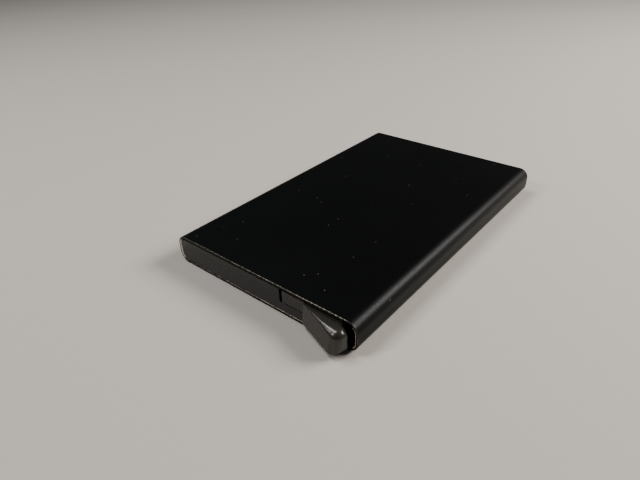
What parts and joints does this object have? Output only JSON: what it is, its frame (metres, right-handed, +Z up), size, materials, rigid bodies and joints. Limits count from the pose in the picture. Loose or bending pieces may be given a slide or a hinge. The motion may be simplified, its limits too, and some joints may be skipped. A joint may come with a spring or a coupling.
{
  "type": "pop-up card wallet",
  "caption": "Slim rectangular aluminium card sleeve with rounded long edges, a plastic end cap and a sprung thumb lever that fans the cards out of its open end.",
  "frame": {"origin": "The centre of the sleeve's flat bottom face, in the plane that the wallet lies on.", "axes": "+X points to the side that the thumb tab is on, +Y along the sleeve to its open mouth, +Z up out of the top face."},
  "size_m": [0.063, 0.1028, 0.0085],
  "materials": {
    "anodised_aluminium": "bead-blasted and anodised black, fine matt grain, cut ends bright at the edges",
    "cap_plastic": "moulded ABS in dark warm grey, satin",
    "lever_plastic": "moulded nylon in dark grey, semi-gloss",
    "steel": "drawn steel wire and rod",
    "rail_plastic": "extruded black ABS, matt",
    "felt": "black pressed felt, adhesive backed"
  },
  "bodies": {
    "holder": {"shell": "anodised_aluminium", "end_cap": "cap_plastic", "pivot_pin": "steel", "return_spring": "steel", "left_rail": "rail_plastic", "right_rail": "rail_plastic", "left_grip_strip": "felt", "right_grip_strip": "felt"},
    "lever": {"lever": "lever_plastic"}
  },
  "joints": [
    {"name": "lever_hinge", "type": "hinge", "parent": "holder", "child": "lever", "pos_m": [0.0103, -0.0467, 0.00425], "axis": [0, 0, 1], "range_deg": [0, 45], "stiffness_Nm_per_rad": 0.03, "springref_deg": -34.38}
  ]
}
